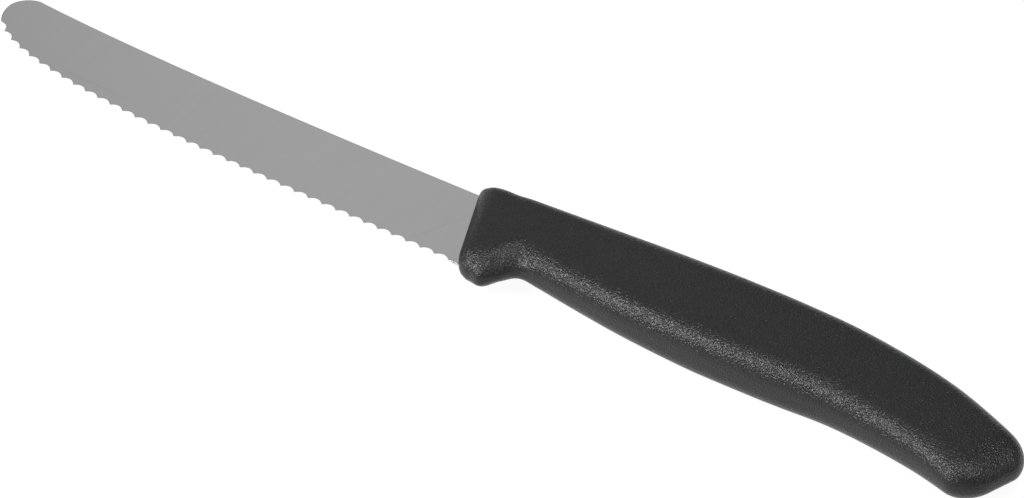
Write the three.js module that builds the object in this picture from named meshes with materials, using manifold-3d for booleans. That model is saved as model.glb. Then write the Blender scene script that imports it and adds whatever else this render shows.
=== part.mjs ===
// A table knife: a serrated, round-nosed steel blade with its tang moulded into a plastic handle.
// Millimetres. While it is drawn, x runs back from the nose of the blade, y runs up from the
// cutting edge to the spine, and z runs out of the blade's left face.

import * as THREE from 'three';
import { mergeVertices } from 'three/addons/utils/BufferGeometryUtils.js';
import Module from 'manifold-3d';

const wasm = await Module();
wasm.setup();

// Blade, side view
const bladeLength = 110.4; // nose to the guard, along the edge
const noseHeight = 13.5; // foremost point of the nose, above the edge
const noseDrop = 11.3; // how steeply the edge leaves the nose
const sweepLength = 75.6; // nose to the lowest point of the edge
const sweepReach = 49.7; // how early the edge flattens towards that point
const heelRise = 0.3; // the edge climbs by this much again at the guard
const spineAtNose = 17.5; // height of the spine where it turns into the nose
const noseTurn = 4.4; // length of that turn
const noseFullness = 0.48; // 0.55 makes the turn a quarter of an ellipse, less makes it flatter
const spineAtHeel = 17.62; // height of the spine at the handle
const hollowPlace = 34; // the spine's hollow between those two bends about this place
const hollowDrop = 2.1; // how far that bend's control point lies below the spine at the nose

// Blade, thickness
const stockThickness = 1.3; // the sheet that blade and tang are stamped from
const noseThickness = 1.1; // at the spine, by the nose
const edgeThickness = 0.4; // behind the teeth, at the heel
const runOutInset = 1.5; // the taper ends this far inside the guard, at the edge
const runOutLean = 24; // degrees that its end leans forward towards the spine
const runOutSlope = 12; // degrees of the ramp at its end

// Teeth, ground into the right face only
const toothPitch = 3.01;
const toothDepth = 0.68;
const toothLand = 0.2; // width left at each tooth tip
const toothSlope = 20; // degrees between a tooth's hollow and the face
const firstTooth = 8.05; // from the foremost point to the first tooth tip, along the edge
const plainHeel = 1.4; // length without teeth ahead of the guard
const wheelWidth = 0.8; // half the width of the wheel that grinds them, in tooth pitches

// Tang, hidden in the handle
const tangLength = 70; // behind the guard
const tangHeight = 8;
const tangMiddle = 12.8; // height of its middle above the edge
const tangCorner = 0.25; // bevel of its corners, as a share of its height
const tangHole = 4; // diameter of the holes that the plastic flows through
const tangHoles = [28, 54]; // their places behind the guard
const heelInset = 0.4; // length of full blade height inside the guard
const shoulderLength = 7; // slope from the edge up to the tang
const spineInset = -2.5; // where the spine steps down to the tang, from the guard

// Handle, moulded round the tang
const mouldGap = 0.2;
const handleLength = 108.9; // guard to butt, along the back
const frontRound = 5; // corner between the front and the back
const guardRound = 2.95; // nose of the guard
const rimRound = 1.75; // rounding of the cheeks towards the blade
const buttBackRound = 5.4; // corner between the back and the butt
const buttHookRound = 6.3; // corner between the butt and the belly
const buttCheekRound = 3.6; // rounding of the cheeks towards the butt, across
const buttCheekReach = 7; // the same, along the handle
const gripCheek = 4.15; // thickest plastic beside the blade, where the cheeks are flat
const roundTurn = 0.55; // fullness of an edge that is round; less makes it more of a bevel
const widestRound = 0.98; // most that an edge takes of half the thickness
const tallestRound = 0.49; // most that it takes of the height

// Sections of the handle, front to butt, in percent. Back and belly start with a place behind the
// guard, of the handle's length, and a height, of the blade's at the heel: the back's is above the
// spine, the belly's above the edge. Then comes the rounding of the edges there, of the grip's
// cheek, and for the belly also its reach up the cheek and its fullness. Cheek is the plastic on
// each side of the blade.
const sections = [
  { back: [-8.4, 22.4, 72], belly: [0.9, -8.6, 72, 82, 0.55], cheek: 48.2 },
  { back: [-4.5, 14.9, 73], belly: [2.8, -5.6, 77, 111, 0.45], cheek: 66.3 },
  { back: [-0.8, 13.7, 77], belly: [5.4, -7.4, 84, 138, 0.34], cheek: 71.1 },
  { back: [2.4, 16.6, 82], belly: [7.2, 7.1, 90, 145, 0.2], cheek: 73.5 },
  { back: [6.1, 18.3, 84], belly: [9, 23.6, 89, 130, 0.3], cheek: 75.9 },
  { back: [11.1, 20.8, 87], belly: [12.5, 26.1, 87, 104, 0.48], cheek: 78.3 },
  { back: [18.5, 24.2, 92], belly: [18.9, 22.5, 92, 96, 0.55], cheek: 83.1 },
  { back: [29, 28.1, 96], belly: [29.4, 16.8, 96, 96, 0.55], cheek: 91.6 },
  { back: [41.9, 30.8, 96], belly: [42.1, 14.8, 96, 96, 0.55], cheek: 100 },
  { back: [53.8, 32.2, 96], belly: [54, 16.9, 96, 96, 0.55], cheek: 103.6 },
  { back: [67.9, 29.2, 96], belly: [68, 20.7, 96, 96, 0.55], cheek: 92.8 },
  { back: [83, 13.2, 94], belly: [83, 10.9, 94, 99, 0.55], cheek: 83.1 },
  { back: [100, -24.2, 92], belly: [94.8, -9.6, 92, 133, 0.55], cheek: 73.5 },
];

// Faceting
const curveSteps = 48;
const scallopSteps = 8;
const holeSteps = 24;
const ringCount = 96;
const cornerSteps = 8;
const overshoot = 4; // cutting tools are this many times as large as what they cut
const percent = 0.01;

const steelMaterial = new THREE.MeshStandardMaterial({ color: 0x9d9d9c, roughness: 0.35, metalness: 1 });
const plasticMaterial = new THREE.MeshStandardMaterial({ color: 0x2b2b2b, roughness: 0.6, metalness: 0 });

function toSolid(geometry) {
  const bare = geometry.clone();
  bare.deleteAttribute('normal');
  bare.deleteAttribute('uv');
  const merged = mergeVertices(bare);
  return new wasm.Manifold(new wasm.Mesh({
    numProp: 3,
    vertProperties: new Float32Array(merged.attributes.position.array),
    triVerts: new Uint32Array(merged.index.array),
  }));
}

function toMesh(solid, material, name) {
  const { vertProperties, triVerts } = solid.getMesh();
  const geometry = new THREE.BufferGeometry();
  geometry.setAttribute('position', new THREE.BufferAttribute(vertProperties, 3));
  geometry.setIndex(new THREE.BufferAttribute(triVerts, 1));
  geometry.computeVertexNormals();
  const mesh = new THREE.Mesh(geometry, material);
  mesh.name = name;
  return mesh;
}

// A plate of the given outline, centred on the plane of the blade.
function plate(shape, thickness) {
  const options = { depth: thickness, bevelEnabled: false, curveSegments: curveSteps };
  return toSolid(new THREE.ExtrudeGeometry(shape, options).translate(0, 0, -thickness / 2));
}

// A block that fills the side of a plane that its normal points to.
function blockAbove(plane) {
  const size = overshoot * (bladeLength + handleLength);
  const block = new THREE.BoxGeometry(size, size, size).translate(0, 0, size / 2);
  const turn = new THREE.Quaternion().setFromUnitVectors(new THREE.Vector3(0, 0, 1), plane.normal);
  const foot = plane.coplanarPoint(new THREE.Vector3());
  block.applyQuaternion(turn).translate(foot.x, foot.y, foot.z);
  return toSolid(block);
}

// Moves every side of a closed outline outwards by the same distance.
function grown(points, distance) {
  return points.map((point, i) => {
    const before = points[(i + points.length - 1) % points.length];
    const after = points[(i + 1) % points.length];
    const arriving = point.clone().sub(before).normalize();
    const leaving = after.clone().sub(point).normalize();
    const outward = new THREE.Vector2(arriving.y + leaving.y, -arriving.x - leaving.x);
    return point.clone().addScaledVector(outward, distance / (1 + arriving.dot(leaving)));
  });
}

// The cutting edge, from the foremost point of the nose back to the guard
function cuttingEdge() {
  const lowest = new THREE.Vector2(sweepLength, 0);
  const sweep = new THREE.CubicBezierCurve(
    new THREE.Vector2(0, noseHeight),
    new THREE.Vector2(0, noseHeight - noseDrop),
    new THREE.Vector2(sweepLength - sweepReach, 0),
    lowest,
  );
  const heel = new THREE.QuadraticBezierCurve(
    lowest,
    new THREE.Vector2((sweepLength + bladeLength) / 2, 0),
    new THREE.Vector2(bladeLength, heelRise),
  );
  const edge = new THREE.CurvePath();
  edge.add(sweep);
  edge.add(heel);
  return edge;
}

// Outline of what the handle hides, from the edge at the guard round the tang to the spine
function tangOutline() {
  const low = tangMiddle - tangHeight / 2;
  const high = tangMiddle + tangHeight / 2;
  const end = bladeLength + tangLength;
  const corner = tangCorner * tangHeight;
  return [
    new THREE.Vector2(bladeLength + heelInset, heelRise),
    new THREE.Vector2(bladeLength + heelInset + shoulderLength, low),
    new THREE.Vector2(end - corner, low),
    new THREE.Vector2(end, low + corner),
    new THREE.Vector2(end, high - corner),
    new THREE.Vector2(end - corner, high),
    new THREE.Vector2(bladeLength + spineInset + spineAtHeel - high, high),
    new THREE.Vector2(bladeLength + spineInset, spineAtHeel),
  ];
}

function bladeOutline(edge) {
  const [sweep, heel] = edge.curves;
  const shape = new THREE.Shape();
  shape.moveTo(sweep.v0.x, sweep.v0.y);
  shape.bezierCurveTo(sweep.v1.x, sweep.v1.y, sweep.v2.x, sweep.v2.y, sweep.v3.x, sweep.v3.y);
  shape.quadraticCurveTo(heel.v1.x, heel.v1.y, heel.v2.x, heel.v2.y);
  for (const point of tangOutline()) {
    shape.lineTo(point.x, point.y);
  }
  shape.quadraticCurveTo(hollowPlace, spineAtNose - hollowDrop, noseTurn, spineAtNose);
  shape.bezierCurveTo(
    noseTurn * (1 - noseFullness), spineAtNose,
    0, noseHeight + (spineAtNose - noseHeight) * noseFullness,
    0, noseHeight,
  );
  for (const place of tangHoles) {
    const hole = new THREE.Path();
    hole.absarc(bladeLength + place, tangMiddle, tangHole / 2, 0, 2 * Math.PI, true);
    shape.holes.push(hole);
  }
  return shape;
}

// The plane of the ground left face, which thins from the spine to the edge and from heel to nose
function groundFace() {
  return new THREE.Plane().setFromCoplanarPoints(
    new THREE.Vector3(bladeLength, 0, edgeThickness / 2),
    new THREE.Vector3(bladeLength, spineAtHeel, stockThickness / 2),
    new THREE.Vector3(0, spineAtNose, noseThickness / 2),
  );
}

// The ramp inside the handle, where the grinding runs out to the full thickness of the sheet
function runOutRamp() {
  const lean = THREE.MathUtils.degToRad(runOutLean);
  const slope = THREE.MathUtils.degToRad(runOutSlope);
  const towardsNose = new THREE.Vector3(-Math.cos(lean), -Math.sin(lean), 0);
  const normal = towardsNose.multiplyScalar(Math.sin(slope));
  normal.z = Math.cos(slope);
  const start = new THREE.Vector3(bladeLength + runOutInset, heelRise, stockThickness / 2);
  return new THREE.Plane().setFromNormalAndCoplanarPoint(normal, start);
}

// The same plane on the other side of the blade
function mirrored(plane) {
  const { x, y, z } = plane.normal;
  return new THREE.Plane(new THREE.Vector3(x, y, -z), plane.constant);
}

// What grinding takes off each side of the sheet, or what keeps a clearance from the ground faces
function grinding(clearance) {
  return [(plane) => plane, mirrored].map((toSide) => {
    const [face, ramp] = [groundFace(), runOutRamp()].map(
      (plane) => toSide(new THREE.Plane(plane.normal, plane.constant - clearance)),
    );
    return blockAbove(face).intersect(blockAbove(ramp));
  });
}

// Height of a plane over a point of the side view
function heightOf(plane, point) {
  return -(plane.normal.x * point.x + plane.normal.y * point.y + plane.constant) / plane.normal.z;
}

// A round-topped cutter. Its ridge lies along z, with the highest line through the origin.
function scallopCutter() {
  const sag = toothDepth * Math.sin(THREE.MathUtils.degToRad(toothSlope));
  const halfChord = (toothPitch - toothLand) / 2;
  const radius = (halfChord ** 2 + sag ** 2) / (2 * sag);
  const halfWidth = wheelWidth * toothPitch;
  const spread = Math.asin(halfWidth / radius);
  const depth = overshoot * stockThickness;
  const shape = new THREE.Shape();
  shape.moveTo(-halfWidth, -depth);
  shape.lineTo(halfWidth, -depth);
  shape.absarc(0, -radius, radius, Math.PI / 2 - spread, Math.PI / 2 + spread, false);
  const reach = overshoot * toothDepth;
  const run = stockThickness / Math.sin(THREE.MathUtils.degToRad(toothSlope));
  const options = { depth: reach + run, bevelEnabled: false, curveSegments: scallopSteps };
  return new THREE.ExtrudeGeometry(shape, options).translate(0, 0, -reach);
}

// Grinds the row of teeth: each hollow starts at the left face and deepens into the right one.
function cutTeeth(solid, edge) {
  const cutter = scallopCutter();
  const face = groundFace();
  const slope = THREE.MathUtils.degToRad(toothSlope);
  const length = edge.getLength();
  const count = Math.floor((length - plainHeel - firstTooth) / toothPitch) + 1;
  let toothed = solid;
  for (let i = 0; i < count; i++) {
    const place = (firstTooth + (i - 0.5) * toothPitch) / length;
    const tangent = edge.getTangentAt(place);
    const point = edge.getPointAt(place);
    const inward = new THREE.Vector3(-tangent.y, tangent.x, 0);
    const valley = new THREE.Vector3(point.x, point.y, 0).addScaledVector(inward, toothDepth);
    valley.z = heightOf(face, valley);
    const acrossEdge = new THREE.Vector3(-tangent.x, -tangent.y, 0);
    const ridge = inward.clone().multiplyScalar(Math.cos(slope)).setZ(-Math.sin(slope));
    const outOfFace = ridge.clone().cross(acrossEdge);
    const placed = new THREE.Matrix4().makeBasis(acrossEdge, outOfFace, ridge).setPosition(valley);
    toothed = toothed.subtract(toSolid(cutter.clone().applyMatrix4(placed)));
  }
  return toothed;
}

function makeBlade() {
  const edge = cuttingEdge();
  let blade = plate(bladeOutline(edge), stockThickness);
  for (const side of grinding(0)) {
    blade = blade.subtract(side);
  }
  return toMesh(cutTeeth(blade, edge), steelMaterial, 'blade');
}

// How far a quarter of an ellipse stands back, at a distance from the end it rounds
function setBack(distance, depth, reach) {
  const inside = 1 - Math.min(distance / reach, 1);
  return depth * (1 - Math.sqrt(1 - inside ** 2));
}

// Distance of a point from the line through two others, in the side view
function distanceFromLine(point, start, end) {
  const along = end.clone().sub(start).normalize();
  return Math.abs(point.clone().sub(start).cross(along));
}

// A quarter turn from the back or the belly to a cheek, in shares of its reach and its depth
function edgeTurn(fullness) {
  return new THREE.CubicBezierCurve(
    new THREE.Vector2(1, 0),
    new THREE.Vector2(1, (fullness + roundTurn) / 2),
    new THREE.Vector2(fullness, 1),
    new THREE.Vector2(0, 1),
  );
}

// One section of the handle: a rounded rectangle between a back point and a belly point
function handleRing(back, belly, half, backEdge, bellyEdge) {
  const up = back.clone().sub(belly);
  const height = up.length();
  up.normalize();
  const middle = back.clone().lerp(belly, 0.5);
  const tallest = tallestRound * height;
  const ring = [];
  for (let corner = 0; corner < 4; corner++) {
    const backSide = corner === 0 || corner === 3 ? 1 : -1;
    const leftSide = corner < 2 ? 1 : -1;
    const { round, reach, fullness } = backSide > 0 ? backEdge : bellyEdge;
    const depth = Math.min(round, widestRound * half, tallest);
    const length = Math.min(reach * depth / round, tallest);
    const turn = edgeTurn(fullness);
    for (let step = 0; step <= cornerSteps; step++) {
      const share = step / cornerSteps;
      const { x, y } = turn.getPoint(corner % 2 === 0 ? share : 1 - share);
      const along = backSide * (height / 2 - length + length * x);
      const across = leftSide * (half - depth + depth * y);
      ring.push(new THREE.Vector3(middle.x + up.x * along, middle.y + up.y * along, across));
    }
  }
  return ring;
}

// A number of the sections, blended along the handle
function blended(pick) {
  const curve = new THREE.SplineCurve(sections.map((section, i) => new THREE.Vector2(i, pick(section))));
  return (place) => curve.getPoint(place).y;
}

// A line along the handle through the places and heights of the sections
function sideLine(height, pick) {
  return new THREE.SplineCurve(sections.map((section) => {
    const [place, rise] = pick(section);
    const x = bladeLength + place * percent * handleLength;
    return new THREE.Vector2(x, height + rise * percent * spineAtHeel);
  }));
}

// The sections blended along the handle, with both ends rounded off
function handleRings() {
  const backLine = sideLine(spineAtHeel, ({ back }) => back);
  const bellyLine = sideLine(0, ({ belly }) => belly);
  const backRound = blended(({ back }) => back[2] * percent * gripCheek);
  const bellyRound = blended(({ belly }) => belly[2] * percent * gripCheek);
  const bellyReach = blended(({ belly }) => belly[3] * percent * gripCheek);
  const bellyFullness = blended(({ belly }) => belly[4]);
  const cheek = blended((section) => section.cheek * percent * gripCheek);
  const slot = stockThickness / 2 + mouldGap;
  const rings = [];
  for (let i = 0; i <= ringCount; i++) {
    const place = (1 - Math.cos(Math.PI * i / ringCount)) / 2;
    const back = backLine.getPoint(place);
    const belly = bellyLine.getPoint(place);
    const middle = back.clone().lerp(belly, 0.5);
    const fromFront = distanceFromLine(middle, backLine.getPoint(0), bellyLine.getPoint(0));
    const fromButt = distanceFromLine(middle, backLine.getPoint(1), bellyLine.getPoint(1));
    const up = back.clone().sub(belly).normalize();
    back.addScaledVector(up, -setBack(fromFront, frontRound, frontRound));
    back.addScaledVector(up, -setBack(fromButt, buttBackRound, buttBackRound));
    belly.addScaledVector(up, setBack(fromFront, guardRound, guardRound));
    belly.addScaledVector(up, setBack(fromButt, buttHookRound, buttHookRound));
    const rim = setBack(fromFront, rimRound, rimRound);
    const butt = setBack(fromButt, buttCheekRound, buttCheekReach);
    const half = slot + Math.min(cheek(place), gripCheek) - rim - butt;
    const backEdge = { round: backRound(place), reach: backRound(place), fullness: roundTurn };
    const bellyEdge = {
      round: bellyRound(place),
      reach: bellyReach(place),
      fullness: bellyFullness(place),
    };
    rings.push(handleRing(back, belly, half, backEdge, bellyEdge));
  }
  return rings;
}

// A closed skin over a row of rings
function loft(rings) {
  const around = rings[0].length;
  const last = (rings.length - 1) * around;
  const points = rings.flat();
  const ends = [rings[0], rings[rings.length - 1]].map(
    (ring) => ring.reduce((sum, point) => sum.add(point), new THREE.Vector3()).divideScalar(around),
  );
  const frontMiddle = points.length;
  const buttMiddle = frontMiddle + 1;
  const index = [];
  for (let j = 0; j < around; j++) {
    const next = (j + 1) % around;
    for (let i = 0; i < last; i += around) {
      index.push(i + j, i + next, i + around + j);
      index.push(i + next, i + around + next, i + around + j);
    }
    index.push(frontMiddle, next, j);
    index.push(buttMiddle, last + j, last + next);
  }
  const geometry = new THREE.BufferGeometry().setFromPoints([...points, ...ends]);
  geometry.setIndex(index);
  return geometry;
}

// The hollow that the tang fills, bridged by the plastic in the tang's holes
function tangPocket() {
  const foremost = Math.min(...sections.map(({ back }) => back[0])) * percent * handleLength;
  const ahead = bladeLength + foremost - frontRound;
  const outline = [
    ...tangOutline(),
    new THREE.Vector2(ahead, spineAtHeel),
    new THREE.Vector2(ahead, heelRise),
  ];
  let pocket = plate(new THREE.Shape(grown(outline, mouldGap)), stockThickness + 2 * mouldGap);
  for (const side of grinding(mouldGap)) {
    pocket = pocket.subtract(side);
  }
  const plugRadius = tangHole / 2 - mouldGap;
  for (const place of tangHoles) {
    const plug = new THREE.CylinderGeometry(plugRadius, plugRadius, overshoot * stockThickness, holeSteps);
    plug.rotateX(Math.PI / 2).translate(bladeLength + place, tangMiddle, 0);
    pocket = pocket.subtract(toSolid(plug));
  }
  return pocket;
}

function makeHandle() {
  const moulding = toSolid(loft(handleRings())).subtract(tangPocket());
  return toMesh(moulding, plasticMaterial, 'handle');
}

const knife = new THREE.Group();
knife.add(makeBlade(), makeHandle());

// The origin lies under the middle of the knife, which lies on its right side.
const extent = new THREE.Box3().setFromObject(knife, true);
const middle = extent.getCenter(new THREE.Vector3());
knife.position.set(-middle.x, -middle.y, -extent.min.z);

export default knife;
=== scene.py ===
import math
import bmesh
import bpy
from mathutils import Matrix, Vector


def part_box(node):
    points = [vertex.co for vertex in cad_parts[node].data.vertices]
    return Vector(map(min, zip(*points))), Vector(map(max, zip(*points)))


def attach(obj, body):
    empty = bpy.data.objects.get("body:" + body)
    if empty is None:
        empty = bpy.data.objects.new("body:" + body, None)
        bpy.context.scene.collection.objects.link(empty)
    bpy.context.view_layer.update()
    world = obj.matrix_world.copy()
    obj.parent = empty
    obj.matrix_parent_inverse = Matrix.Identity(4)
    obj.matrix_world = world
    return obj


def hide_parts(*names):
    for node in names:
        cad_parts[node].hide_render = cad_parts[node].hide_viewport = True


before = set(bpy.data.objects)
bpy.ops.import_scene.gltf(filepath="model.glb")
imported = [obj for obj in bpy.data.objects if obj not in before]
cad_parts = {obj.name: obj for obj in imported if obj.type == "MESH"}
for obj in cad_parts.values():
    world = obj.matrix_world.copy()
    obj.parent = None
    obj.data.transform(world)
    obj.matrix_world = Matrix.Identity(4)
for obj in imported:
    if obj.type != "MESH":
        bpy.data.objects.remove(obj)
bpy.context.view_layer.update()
print("frame loaded:", sorted(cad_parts))

# Both pieces are drawn in millimetres: x back from the nose, y up from the edge, z out of the left face.
# Sizes below are in millimetres too, except those of the studio and the camera.
mm = 0.001
bladeLow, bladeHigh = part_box("blade")


# Shaders

# A node's output. Sums on values are written as plain Python, and node() adds anything else.
class Wire:
    def __init__(self, tree, socket=None):
        self.tree = tree
        self.socket = socket

    def node(self, kind, settings=(), sockets=(), output=0):
        made = self.tree.nodes.new("ShaderNode" + kind)
        for name, value in dict(settings).items():
            setattr(made, name, value)
        for name, value in dict(sockets).items():
            if isinstance(value, Wire):
                self.tree.links.new(value.socket, made.inputs[name])
            else:
                made.inputs[name].default_value = value
        return Wire(self.tree, made.outputs[output] if made.outputs else None)

    def math(self, operation, first, second):
        return self.node("Math", dict(operation=operation), {0: first, 1: second})

    def __add__(self, other):
        return self.math("ADD", self, other)

    def __radd__(self, other):
        return self.math("ADD", other, self)

    def __sub__(self, other):
        return self.math("SUBTRACT", self, other)

    def __rsub__(self, other):
        return self.math("SUBTRACT", other, self)

    def __mul__(self, other):
        return self.math("MULTIPLY", self, other)

    def __rmul__(self, other):
        return self.math("MULTIPLY", other, self)

    def __rpow__(self, other):
        return self.math("POWER", other, self)

    # this wire as a vector, stretched along its axes
    def stretched(self, factors):
        return self.node("VectorMath", dict(operation="MULTIPLY"), {0: self, 1: factors})

    # a colour between two others, this wire says how far
    def between(self, first, second):
        colours = {0: self, 6: (*first, 1), 7: (*second, 1)}
        return self.node("Mix", dict(data_type="RGBA"), colours, output=2)

    def noise(self, size, detail=2.0, roughness=0.5):
        scale = tuple(1 / (length * mm) for length in size)
        return self.node("TexNoise", dict(noise_dimensions="3D"), {
            "Vector": self.stretched(scale),
            "Scale": 1.0,
            "Detail": detail,
            "Roughness": roughness,
        })


def newFinish(name):
    material = bpy.data.materials.new(name)
    material.use_nodes = True
    material.node_tree.nodes.clear()
    return material, Wire(material.node_tree)


def closeFinish(finish, sockets):
    shader = finish.node("BsdfPrincipled", (), sockets)
    finish.node("OutputMaterial", (), {"Surface": shader})


steelLook = dict(
    light=(0.598, 0.594, 0.596),
    dark=(0.538, 0.535, 0.536),
    roughness=0.315,
    roughnessSpread=0.06,
    grindMark=(0.16, 14, 0.16),  # one grinding mark: the marks run from spine to edge
    grindBand=(1.3, 60, 1.3),  # a band of lighter or darker marks
    grindDepth=0.0008,
    markShare=0.5,  # of the tone, the bands give the rest
    # faint traces where the grinding stopped, measured from the middle of the knife: one leans up from
    # the edge in front of the handle, one runs along behind the nose
    heelTrace=dict(x=-7.9, y=-7.0, lean=0.46, width=0.28, reach=4.5),
    noseTrace=dict(x=-82.5, y=-6.9, width=0.28, reach=5.0),
    traceTone=0.5,
)


# A thin soft line, strongest at its middle and half as strong a width or a reach away from it
def softLine(trace, across, along):
    acrossWidths = across * (1 / (trace["width"] * mm))
    alongReaches = along * (1 / (trace["reach"] * mm))
    return 0.5 ** (acrossWidths * acrossWidths + alongReaches * alongReaches)


# The lean is sideways for each step up
def heelMark(x, y):
    t = steelLook["heelTrace"]
    across = x - t["x"] * mm - (y - t["y"] * mm) * t["lean"]
    along = y - (t["y"] + t["reach"] / 2) * mm
    return softLine(t, across, along)


def noseMark(x, y):
    t = steelLook["noseTrace"]
    return softLine(t, y - t["y"] * mm, x - t["x"] * mm)


def satinSteel():
    material, finish = newFinish("satinSteel")
    place = finish.node("TexCoord", output="Object")
    marks = place.noise(steelLook["grindMark"], detail=3, roughness=0.6)
    bands = place.noise(steelLook["grindBand"], detail=2)
    x = finish.node("SeparateXYZ", (), {0: place}, output=0)
    y = finish.node("SeparateXYZ", (), {0: place}, output=1)
    traces = heelMark(x, y) + noseMark(x, y)
    share = steelLook["markShare"]
    tone = marks * share + bands * (1 - share) - traces * steelLook["traceTone"]
    ground = finish.node("Bump", (), {
        "Strength": 1.0,
        "Distance": steelLook["grindDepth"] * mm,
        "Height": marks,
    })
    closeFinish(finish, {
        "Base Color": tone.between(steelLook["dark"], steelLook["light"]),
        "Metallic": 1.0,
        "Roughness": steelLook["roughness"] + (marks - 0.5) * steelLook["roughnessSpread"],
        "Normal": ground,
    })
    return material


plasticLook = dict(
    low=(0.013, 0.013, 0.0131),
    high=(0.0205, 0.0205, 0.0207),
    roughness=0.31,
    roughnessSpread=0.12,
    gloss=0.3,  # specular level
    grain=(0.32, 0.32, 0.32),  # one grain of the moulded texture
    grainDepth=0.18,
    cloud=(7, 7, 7),  # a slow change of tone
    grainShare=0.6,  # of the tone, the clouds give the rest
)


def grainedPlastic():
    material, finish = newFinish("grainedPlastic")
    place = finish.node("TexCoord", output="Object")
    grain = place.noise(plasticLook["grain"], detail=1, roughness=0.45)
    cloud = place.noise(plasticLook["cloud"], detail=2)
    skin = finish.node("Bump", (), {
        "Strength": 1.0,
        "Distance": plasticLook["grainDepth"] * mm,
        "Height": grain,
    })
    share = plasticLook["grainShare"]
    tone = grain * share + cloud * (1 - share)
    closeFinish(finish, {
        "Base Color": tone.between(plasticLook["low"], plasticLook["high"]),
        "Roughness": plasticLook["roughness"] + (grain - 0.5) * plasticLook["roughnessSpread"],
        "Specular IOR Level": plasticLook["gloss"],
        "Normal": skin,
    })
    return material


# Curves and meshes

def bezier(points, share):
    while len(points) > 1:
        points = [a.lerp(b, share) for a, b in zip(points, points[1:])]
    return points[0]


def bezierRun(points, steps):
    return [bezier(points, i / steps) for i in range(steps + 1)]


# A smooth line through points, as THREE.SplineCurve draws it in the CAD
def splinePoint(points, share):
    last = len(points) - 1
    index = min(int(share * last), last - 1)
    part = share * last - index
    start, end = points[index], points[index + 1]
    leaving = (end - points[max(index - 1, 0)]) / 2
    arriving = (points[min(index + 2, last)] - start) / 2
    cubic = 2 * start - 2 * end + leaving + arriving
    square = 3 * end - 3 * start - 2 * leaving - arriving
    return cubic * part ** 3 + square * part ** 2 + leaving * part + start


# Where a distance along a polyline ends, and its direction there
def alongLine(points, distance):
    for start, end in zip(points, points[1:]):
        step = (end - start).length
        if distance <= step:
            break
        distance -= step
    direction = (end - start).normalized()
    return start + direction * distance, direction


def lengthOf(points):
    return sum((b - a).length for a, b in zip(points, points[1:]))


def newPiece(name, bm):
    noseX = bladeLow.x
    edgeY = bladeHigh.y - bladeSizes["spineAtHeel"] * mm
    middleZ = (bladeLow.z + bladeHigh.z) / 2
    for vertex in bm.verts:
        vertex.co = Vector((noseX, edgeY, middleZ)) + vertex.co * mm
    bmesh.ops.recalc_face_normals(bm, faces=bm.faces)
    mesh = bpy.data.meshes.new(name)
    bm.to_mesh(mesh)
    bm.free()
    piece = bpy.data.objects.new(name, mesh)
    bpy.context.scene.collection.objects.link(piece)
    return piece


# Quads between closed loops of points, with a face over the first and one over the last
def skinOver(loops):
    bm = bmesh.new()
    rows = [[bm.verts.new(point) for point in loop] for loop in loops]
    for row, after in zip(rows, rows[1:]):
        for i in range(len(row)):
            quad = (row[i - 1], row[i], after[i], after[i - 1])
            bm.faces.new(quad).smooth = True
    bm.faces.new(rows[0])
    bm.faces.new(rows[-1])
    return bm


def cutAway(piece, cutters):
    for cutter in cutters:
        cut = piece.modifiers.new("cut", "BOOLEAN")
        cut.operation = "DIFFERENCE"
        cut.solver = "EXACT"
        cut.object = cutter
    whole = piece.evaluated_get(bpy.context.evaluated_depsgraph_get())
    finished = bpy.data.meshes.new_from_object(whole)
    piece.modifiers.clear()
    piece.data = finished
    for cutter in cutters:
        bpy.data.objects.remove(cutter)


def pin(name, x, y, radius, halfLength):
    sides = bladeSizes["pinSides"]
    circle = [i * math.tau / sides for i in range(sides)]
    ends = [
        [Vector((x + radius * math.cos(a), y + radius * math.sin(a), z)) for a in circle]
        for z in (-halfLength, halfLength)
    ]
    return newPiece(name, skinOver(ends))


# Blade

bladeSizes = dict(
    length=110.4, noseHeight=13.5, noseDrop=11.3, sweepLength=75.6, sweepReach=49.7, heelRise=0.3,
    spineAtNose=17.5, noseTurn=4.4, noseFullness=0.48, spineAtHeel=17.62, hollowPlace=34, hollowHeight=15.4,
    stock=1.3, noseThickness=1.1, edgeThickness=0.4,
    toothPitch=3.01, toothDepth=0.68, toothLand=0.2, toothSlope=20, firstTooth=8.05, plainHeel=1.4,
    noHollow=-12,  # stands for a hollow that misses the blade
    tangLength=70, tangHeight=8, tangMiddle=12.8, tangCorner=2, tangHole=4, tangHoles=(28, 54),
    heelInset=0.4, shoulderLength=7, spineInset=-2.5,
    spineBreak=0.16,  # rounding of the edges along spine and nose
    toothBreak=0.02,
    breakFade=2.0,  # length over which one becomes the other
    mostBreak=0.45,  # most that a rounding takes of half the thickness
    breakTurns=(0, 22.5, 45, 67.5, 90),  # degrees round each edge
    rimStrip=0.12,  # flat strip beside each rounding
    sharpAngle=28,  # degrees
    stepsPerTooth=20, sweepSteps=600, heelSteps=200, spineSteps=90, noseSteps=48, pinSides=48,
)


def cuttingEdge():
    b = bladeSizes
    lowest = Vector((b["sweepLength"], 0))
    sweep = [
        Vector((0, b["noseHeight"])),
        Vector((0, b["noseHeight"] - b["noseDrop"])),
        Vector((b["sweepLength"] - b["sweepReach"], 0)),
        lowest,
    ]
    heel = [
        lowest,
        Vector(((b["sweepLength"] + b["length"]) / 2, 0)),
        Vector((b["length"], b["heelRise"])),
    ]
    return bezierRun(sweep, b["sweepSteps"]) + bezierRun(heel, b["heelSteps"])[1:]


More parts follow.
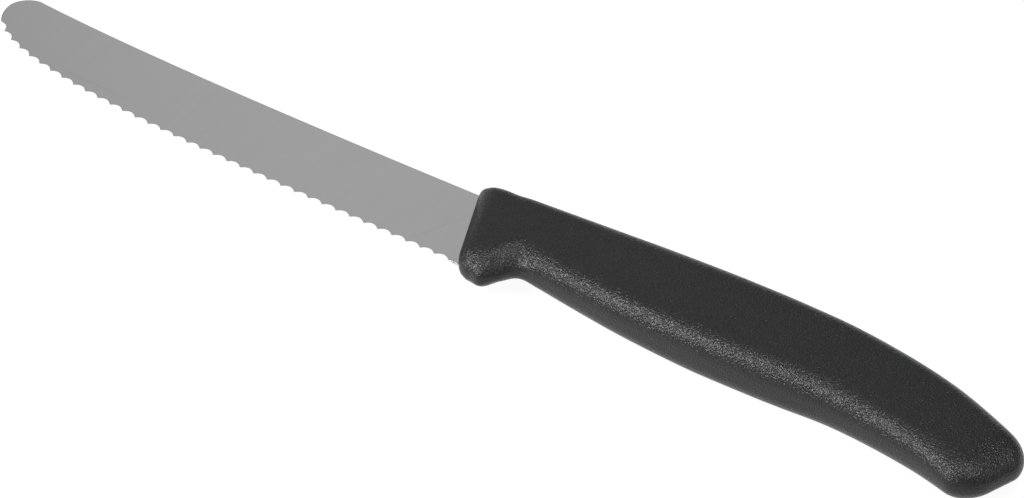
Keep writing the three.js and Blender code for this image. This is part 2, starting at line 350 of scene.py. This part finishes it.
def tangOutline():
    b = bladeSizes
    low = b["tangMiddle"] - b["tangHeight"] / 2
    high = b["tangMiddle"] + b["tangHeight"] / 2
    end = b["length"] + b["tangLength"]
    corner = b["tangCorner"]
    return [
        Vector((b["length"] + b["heelInset"], b["heelRise"])),
        Vector((b["length"] + b["heelInset"] + b["shoulderLength"], low)),
        Vector((end - corner, low)),
        Vector((end, low + corner)),
        Vector((end, high - corner)),
        Vector((end - corner, high)),
        Vector((b["length"] + b["spineInset"] + b["spineAtHeel"] - high, high)),
        Vector((b["length"] + b["spineInset"], b["spineAtHeel"])),
    ]


# From the heel along the spine and round the nose
def spineLine():
    b = bladeSizes
    turnStart = Vector((b["noseTurn"], b["spineAtNose"]))
    heel = Vector((b["length"] + b["spineInset"], b["spineAtHeel"]))
    middle = Vector((b["hollowPlace"], b["hollowHeight"]))
    turn = [
        turnStart,
        Vector((b["noseTurn"] * (1 - b["noseFullness"]), b["spineAtNose"])),
        Vector((0, b["noseHeight"] + (b["spineAtNose"] - b["noseHeight"]) * b["noseFullness"])),
        Vector((0, b["noseHeight"])),
    ]
    spine = bezierRun([heel, middle, turnStart], b["spineSteps"])
    return spine + bezierRun(turn, b["noseSteps"])[1:]


# Half the thickness of the blade at a point of the side view
def halfThickness(point):
    b = bladeSizes
    fromHeel = (point.x - b["length"]) / b["length"]
    fromEdge = point.y / b["spineAtHeel"]
    wedge = b["stock"] - b["edgeThickness"]
    byHeight = wedge * fromEdge
    noseLoss = (b["spineAtHeel"] - b["spineAtNose"]) / b["spineAtHeel"] * wedge
    byLength = (b["stock"] - b["noseThickness"] - noseLoss) * fromHeel
    return (b["edgeThickness"] + byHeight + byLength) / 2


# How deep the hollows reach past the edge line on the left face, below zero where they miss it
def hollowAt(distance, toothCount):
    b = bladeSizes
    slope = math.sin(math.radians(b["toothSlope"]))
    sag = b["toothDepth"] * slope
    halfChord = (b["toothPitch"] - b["toothLand"]) / 2
    radius = (halfChord ** 2 + sag ** 2) / (2 * sag)
    tooth = round((distance - b["firstTooth"]) / b["toothPitch"] + 0.5)
    tooth = min(max(tooth, 0), toothCount - 1)
    across = distance - b["firstTooth"] - (tooth - 0.5) * b["toothPitch"]
    if abs(across) >= radius:
        return b["noHollow"]
    return b["toothDepth"] - (radius - math.sqrt(radius ** 2 - across ** 2)) / slope


# One point of the outline: its place, the way in, how far a hollow reaches and how round its edges are
def rimStation(point, inward, hollow, edgeBreak):
    b = bladeSizes
    slope = math.tan(math.radians(b["toothSlope"]))
    inset = max(hollow, 0)
    half = halfThickness(point + inward * inset)
    topOfHollow = half + min(hollow, 0) * slope
    edgeBreak = min(edgeBreak, b["mostBreak"] * half)

    def level(z, byBreak):
        byHollow = max(topOfHollow - z, 0) / slope
        return point + inward * (inset + max(byBreak, byHollow)), z

    turns = [math.radians(a) for a in b["breakTurns"]]
    left = [(half - edgeBreak * (1 - math.cos(a)), edgeBreak * (1 - math.sin(a))) for a in turns]
    profile = [level(z, byBreak) for z, byBreak in left]
    profile += [level(-z, byBreak) for z, byBreak in reversed(left)]
    first = profile[0][0] + inward * b["rimStrip"]
    last = profile[-1][0] + inward * b["rimStrip"]
    rim = [Vector((flat.x, flat.y, z)) for flat, z in profile]
    rim[0].z = halfThickness(profile[0][0])
    rim[-1].z = -halfThickness(profile[-1][0])
    faceIn = Vector((first.x, first.y, halfThickness(first)))
    faceOut = Vector((last.x, last.y, -halfThickness(last)))
    return [faceIn, *rim, faceOut]


def makeBlade(material):
    b = bladeSizes
    edge = cuttingEdge()
    edgeLength = lengthOf(edge)
    toothCount = math.floor((edgeLength - b["plainHeel"] - b["firstTooth"]) / b["toothPitch"]) + 1
    step = b["toothPitch"] / b["stepsPerTooth"]
    offset = b["firstTooth"] % step
    stations = []
    for i in range(math.ceil((edgeLength - offset) / step)):
        distance = offset + i * step
        point, direction = alongLine(edge, distance)
        hollow = hollowAt(distance, toothCount)
        fade = min(max((b["firstTooth"] - b["toothPitch"] - distance) / b["breakFade"], 0), 1)
        edgeBreak = b["toothBreak"] + (b["spineBreak"] - b["toothBreak"]) * fade
        stations.append((point, Vector((-direction.y, direction.x)), hollow, edgeBreak))
    plain = tangOutline()[:-1] + spineLine()
    for i, point in enumerate(plain):
        before = plain[i - 1] if i else edge[-1]
        after = plain[i + 1] if i + 1 < len(plain) else stations[0][0]
        direction = ((point - before).normalized() + (after - point).normalized()).normalized()
        stations.append((point, Vector((-direction.y, direction.x)), b["noHollow"], b["spineBreak"]))
    loops = list(zip(*[rimStation(*station) for station in stations]))
    blade = newPiece("knifeBlade", skinOver(loops))
    holes = [
        pin(f"tangHole{i}", b["length"] + place, b["tangMiddle"], b["tangHole"] / 2, b["stock"])
        for i, place in enumerate(b["tangHoles"])
    ]
    cutAway(blade, holes)
    blade.data.set_sharp_from_angle(angle=math.radians(b["sharpAngle"]))
    blade.data.materials.clear()
    blade.data.materials.append(material)
    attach(blade, "root")
    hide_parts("blade")
    print("blade:", toothCount, "hollows,", len(blade.data.polygons), "faces")


# Handle

handleSizes = dict(
    length=108.9, frontRound=5, guardRound=2.95, rimRound=1.75, rimReach=2.6,
    buttBackRound=5.4, buttHookRound=6.3, buttCheekRound=3.6, buttCheekReach=7.0, gripCheek=4.15,
    mouldGap=0.2,  # as in the CAD, for the thickness beside the blade
    mouthGap=0.03,  # what is seen round the blade
    mouthAhead=20,  # how far the cutter for the mouth reaches forward
    widestRound=0.98,  # most that a rounding takes of half the thickness
    tallestRound=0.49,  # and of the height
    roundFullness=0.55,  # of a corner that is a plain round
    sharpAngle=35,  # degrees
    ringCount=260, cornerSteps=16,
)


# Sections from the front to the butt, in percent. Back and belly: place behind the guard, of the handle's
# length, height above spine or edge, of the blade's, and rounding, of the grip's cheek; the belly also has
# the reach of its rounding up the cheek and its fullness. Last comes the plastic beside the blade.
handleSections = [
    ((-8.4, 22.4, 72), (0.9, -8.6, 72, 82, 0.55), 48.2),
    ((-4.5, 14.9, 73), (2.8, -5.6, 77, 111, 0.45), 66.3),
    ((-0.8, 13.7, 77), (5.4, -7.4, 84, 138, 0.34), 71.1),
    ((2.4, 16.6, 82), (7.2, 7.1, 90, 145, 0.2), 73.5),
    ((6.1, 18.3, 84), (9, 23.6, 89, 130, 0.3), 75.9),
    ((11.1, 20.8, 87), (12.5, 26.1, 87, 104, 0.48), 78.3),
    ((18.5, 24.2, 92), (18.9, 22.5, 92, 96, 0.55), 83.1),
    ((29, 28.1, 96), (29.4, 16.8, 96, 96, 0.55), 91.6),
    ((41.9, 30.8, 96), (42.1, 14.8, 96, 96, 0.55), 100),
    ((53.8, 32.2, 96), (54, 16.9, 96, 96, 0.55), 103.6),
    ((67.9, 29.2, 96), (68, 20.7, 96, 96, 0.55), 92.8),
    ((83, 13.2, 94), (83, 10.9, 94, 99, 0.55), 83.1),
    ((100, -24.2, 92), (94.8, -9.6, 92, 133, 0.55), 73.5),
]


# How far a quarter-ellipse stands back at a distance from the end that it rounds
def setBack(distance, depth, reach):
    inside = 1 - min(distance / reach, 1)
    return depth * (1 - math.sqrt(1 - inside ** 2))


def distanceFromLine(point, start, end):
    along = (end - start).normalized()
    return abs((point - start).cross(along))


# A rounded rectangle between a back point and a belly point
def handleRing(back, belly, half, backRound, bellyRound, reach, fullness):
    h = handleSizes
    up = (back - belly).normalized()
    height = (back - belly).length
    middle = (back + belly) / 2
    widest = min(h["widestRound"] * half, h["tallestRound"] * height)
    backRadius = min(backRound, widest)
    bellyRadius = min(bellyRound, widest)
    bellyReach = min(reach * bellyRadius / bellyRound, h["tallestRound"] * height)
    plain = h["roundFullness"]
    backCorner = (backRadius, backRadius, plain)
    bellyCorner = (bellyRadius, bellyReach, fullness)
    ring = []
    for backSide, leftSide, falling in ((1, 1, 0), (-1, 1, 1), (-1, -1, 0), (1, -1, 1)):
        radius, length, full = backCorner if backSide > 0 else bellyCorner
        turn = [Vector((1, 0)), Vector((1, (full + plain) / 2)), Vector((full, 1)), Vector((0, 1))]
        for step in range(h["cornerSteps"] + 1):
            share = step / h["cornerSteps"]
            along, across = bezier(turn, 1 - share if falling else share)
            v = backSide * (height / 2 - length + length * along)
            w = leftSide * (half - radius + radius * across)
            ring.append(Vector((middle.x + up.x * v, middle.y + up.y * v, w)))
    return ring


def handleRings():
    h = handleSizes
    b = bladeSizes
    along = h["length"] / 100
    tall = b["spineAtHeel"] / 100
    thick = h["gripCheek"] / 100
    backLine = []
    bellyLine = []
    body = []
    for (backX, backY, backRound), (bellyX, bellyY, bellyRound, reach, fullness), cheek in handleSections:
        backLine.append(Vector((b["length"] + backX * along, b["spineAtHeel"] + backY * tall)))
        bellyLine.append(Vector((b["length"] + bellyX * along, bellyY * tall)))
        body.append(Vector((cheek * thick, backRound * thick, bellyRound * thick, reach * thick, fullness)))
    rings = []
    for i in range(h["ringCount"] + 1):
        place = (1 - math.cos(math.pi * i / h["ringCount"])) / 2
        back = splinePoint(backLine, place)
        belly = splinePoint(bellyLine, place)
        cheek, *rounding = splinePoint(body, place)
        middle = (back + belly) / 2
        fromFront = distanceFromLine(middle, backLine[0], bellyLine[0])
        fromButt = distanceFromLine(middle, backLine[-1], bellyLine[-1])
        up = (back - belly).normalized()
        back -= up * setBack(fromFront, h["frontRound"], h["frontRound"])
        back -= up * setBack(fromButt, h["buttBackRound"], h["buttBackRound"])
        belly += up * setBack(fromFront, h["guardRound"], h["guardRound"])
        belly += up * setBack(fromButt, h["buttHookRound"], h["buttHookRound"])
        half = b["stock"] / 2 + h["mouldGap"] + min(cheek, h["gripCheek"])
        half -= setBack(fromFront, h["rimRound"], h["rimReach"])
        half -= setBack(fromButt, h["buttCheekRound"], h["buttCheekReach"])
        rings.append(handleRing(back, belly, half, *rounding))
    return rings


# The hollow that the tang fills: the blade's own outline behind the mouth, grown by the gap
def tangPocket(gap):
    b = bladeSizes
    ahead = b["length"] - handleSizes["mouthAhead"]
    outline = tangOutline() + [Vector((ahead, b["spineAtHeel"])), Vector((ahead, b["heelRise"]))]
    grown = []
    for i, point in enumerate(outline):
        arriving = (point - outline[i - 1]).normalized()
        leaving = (outline[(i + 1) % len(outline)] - point).normalized()
        outward = Vector((arriving.y + leaving.y, -arriving.x - leaving.x))
        grown.append(point + outward * (gap / (1 + arriving.dot(leaving))))
    faces = [
        [Vector((point.x, point.y, side * (halfThickness(point) + gap))) for point in grown]
        for side in (1, -1)
    ]
    pocket = newPiece("tangPocket", skinOver(faces))
    plugs = [
        pin(f"tangPlug{i}", b["length"] + place, b["tangMiddle"], b["tangHole"] / 2 - gap, b["stock"])
        for i, place in enumerate(b["tangHoles"])
    ]
    cutAway(pocket, plugs)
    return pocket


def makeHandle(material):
    handle = newPiece("knifeHandle", skinOver(handleRings()))
    cutAway(handle, [tangPocket(handleSizes["mouthGap"])])
    handle.data.set_sharp_from_angle(angle=math.radians(handleSizes["sharpAngle"]))
    handle.data.materials.clear()
    handle.data.materials.append(material)
    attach(handle, "root")
    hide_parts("handle")
    print("handle:", len(handle.data.polygons), "faces")


makeBlade(satinSteel())
makeHandle(grainedPlastic())


# Studio

# Metres and watts. The floor is a lit white table.
studio = dict(
    floorSize=3.0,
    floorColour=(0.05, 0.05, 0.05, 1),
    floorRoughness=0.8,
    floorGlow=0.95,
    worldGrey=0.06,
    lights=dict(
        keySoftbox=dict(towards=(-0.447, -0.633, 0.63), distance=0.55, size=(0.245, 0.183), energy=3.75),
        fillSoftbox=dict(towards=(0.748, 0.209, 0.63), distance=0.9, size=(0.4, 0.3), energy=1.2),
        topSoftbox=dict(towards=(0.3, -0.08, 0.95), distance=0.9, size=(0.3, 0.3), energy=4.7),
        backPanel=dict(towards=(-0.5, 0.612, 0.612), distance=1.5, size=(0.56, 1.0), energy=1.17),
    ),
)


def makeFloor():
    side = studio["floorSize"] / 2
    bm = bmesh.new()
    bmesh.ops.create_grid(bm, x_segments=1, y_segments=1, size=side)
    mesh = bpy.data.meshes.new("studioFloor")
    bm.to_mesh(mesh)
    bm.free()
    floor = bpy.data.objects.new("studioFloor", mesh)
    bpy.context.scene.collection.objects.link(floor)
    material, finish = newFinish("whiteTable")
    closeFinish(finish, {
        "Base Color": studio["floorColour"],
        "Roughness": studio["floorRoughness"],
        "Emission Color": (1, 1, 1, 1),
        "Emission Strength": studio["floorGlow"],
    })
    mesh.materials.append(material)


def makeLight(name, light):
    lamp = bpy.data.lights.new(name, "AREA")
    lamp.shape = "RECTANGLE"
    lamp.size, lamp.size_y = light["size"]
    lamp.energy = light["energy"]
    towards = Vector(light["towards"]).normalized()
    holder = bpy.data.objects.new(name, lamp)
    holder.location = towards * light["distance"]
    holder.rotation_euler = towards.to_track_quat("Z", "Y").to_euler()
    bpy.context.scene.collection.objects.link(holder)


def makeWorld():
    world = bpy.data.worlds.new("studioWorld")
    world.use_nodes = True
    world.node_tree.nodes.clear()
    sky = Wire(world.node_tree)
    grey = studio["worldGrey"]
    backdrop = sky.node("Background", (), {"Color": (grey, grey, grey, 1), "Strength": 1.0})
    sky.node("OutputWorld", (), {"Surface": backdrop})
    bpy.context.scene.world = world
    bpy.context.scene.view_settings.view_transform = "Standard"
    bpy.context.scene.cycles.denoising_prefilter = "NONE"  # keeps the grain


makeFloor()
for lightName, lightValues in studio["lights"].items():
    makeLight(lightName, lightValues)
makeWorld()
print("studio lit")


# Camera

# Degrees and metres, the lens in millimetres
viewpoint = dict(
    azimuth=35.15, elevation=39.28, distance=0.938,
    aim=(0.003379, 0.003266, 0),  # where the axis meets the floor
    focalLength=188.66, sensorWidth=36,
)


def makeCamera():
    azimuth = math.radians(viewpoint["azimuth"])
    elevation = math.radians(viewpoint["elevation"])
    back = Vector((
        math.sin(azimuth) * math.cos(elevation),
        -math.cos(azimuth) * math.cos(elevation),
        math.sin(elevation),
    ))
    lens = bpy.data.cameras.new("photoCamera")
    lens.lens = viewpoint["focalLength"]
    lens.sensor_width = viewpoint["sensorWidth"]
    lens.sensor_fit = "HORIZONTAL"
    camera = bpy.data.objects.new("photoCamera", lens)
    camera.location = Vector(viewpoint["aim"]) + back * viewpoint["distance"]
    camera.rotation_euler = back.to_track_quat("Z", "Y").to_euler()
    bpy.context.scene.collection.objects.link(camera)
    bpy.context.scene.camera = camera


makeCamera()
print("camera set")
